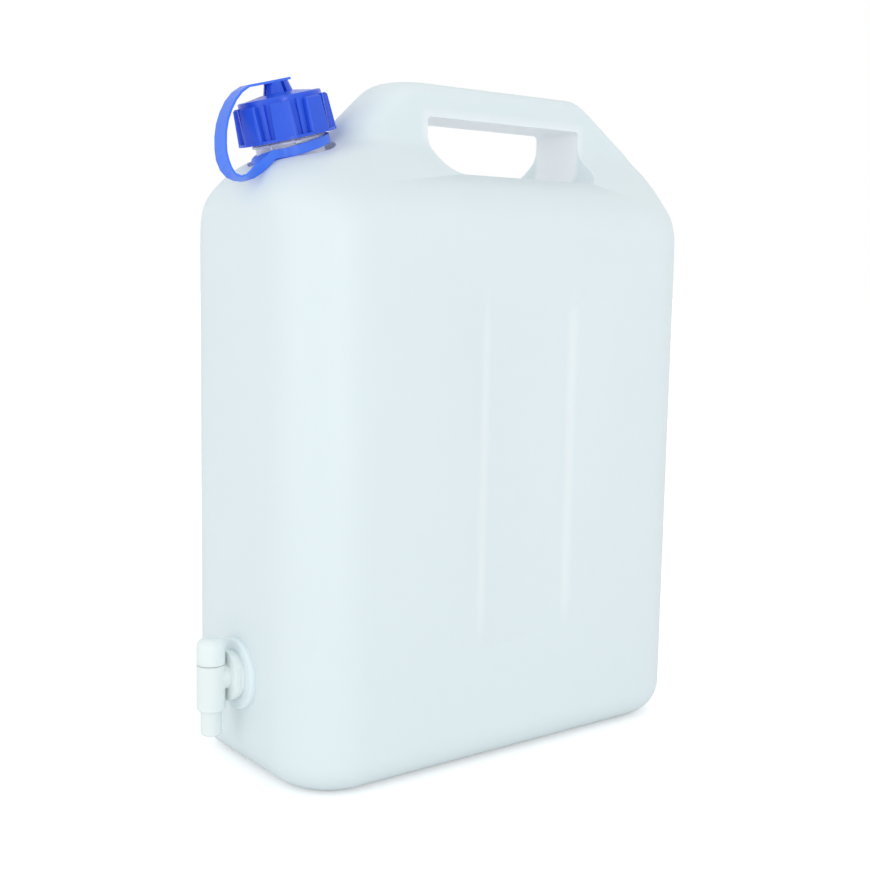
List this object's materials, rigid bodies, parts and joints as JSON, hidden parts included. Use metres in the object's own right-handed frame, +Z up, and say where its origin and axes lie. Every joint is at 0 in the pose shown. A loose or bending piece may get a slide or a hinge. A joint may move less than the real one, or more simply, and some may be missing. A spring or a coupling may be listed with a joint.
{
  "type": "water canister with tap",
  "caption": "Flat upright water canister with a handle through its top, a screw cap held by a strap on a sloping shoulder, and a small tap low on its narrow face.",
  "frame": {"origin": "middle of the base, on the surface that the canister stands on", "axes": "+Z up, Y along the breadth with the tap and the neck towards -Y, X along the thickness"},
  "size_m": [0.1374, 0.2934, 0.3666],
  "materials": {
    "canister_plastic": "milky translucent natural polyethylene, satin",
    "cap_plastic": "moulded blue polyethylene, slight sheen",
    "tap_plastic": "white moulded plastic, slightly translucent",
    "liner_foam": "white foamed sealing disc",
    "gasket_rubber": "white silicone rubber"
  },
  "bodies": {
    "canister": {"can_base": "canister_plastic", "can_walls": "canister_plastic", "can_shoulder": "canister_plastic", "can_handle": "canister_plastic", "can_neck": "canister_plastic", "tap_body": "tap_plastic", "tap_gasket": "gasket_rubber"},
    "tether": {"cap_tether": "cap_plastic"},
    "liner": {"cap_liner": "liner_foam"},
    "cap": {"screw_cap": "cap_plastic"},
    "tap_knob": {"tap_plug": "tap_plastic"}
  },
  "joints": [
    {"name": "tether_swivel", "type": "hinge", "parent": "canister", "child": "tether", "pos_m": [0, -0.1057, 0.3326], "axis": [0, -0.2588, 0.9659], "range_deg": [-20, 0]},
    {"name": "cap_lift", "type": "slide", "parent": "tether", "child": "liner", "axis": [0, -0.2588, 0.9659], "range_m": [0, 0.00801], "deforming": ["cap_tether"]},
    {"name": "cap_turn", "type": "hinge", "parent": "liner", "child": "cap", "pos_m": [0, -0.1057, 0.3326], "axis": [0, -0.2588, 0.9659], "range_deg": [0, 720]},
    {"name": "tap_turn", "type": "hinge", "parent": "canister", "child": "tap_knob", "pos_m": [0, -0.151, 0.054], "axis": [0, 0, 1], "range_deg": [0, 90]}
  ],
  "couplings": [
    {"joint": "cap_lift", "follows": "cap_turn", "m_per_rad": 0.00063662}
  ]
}
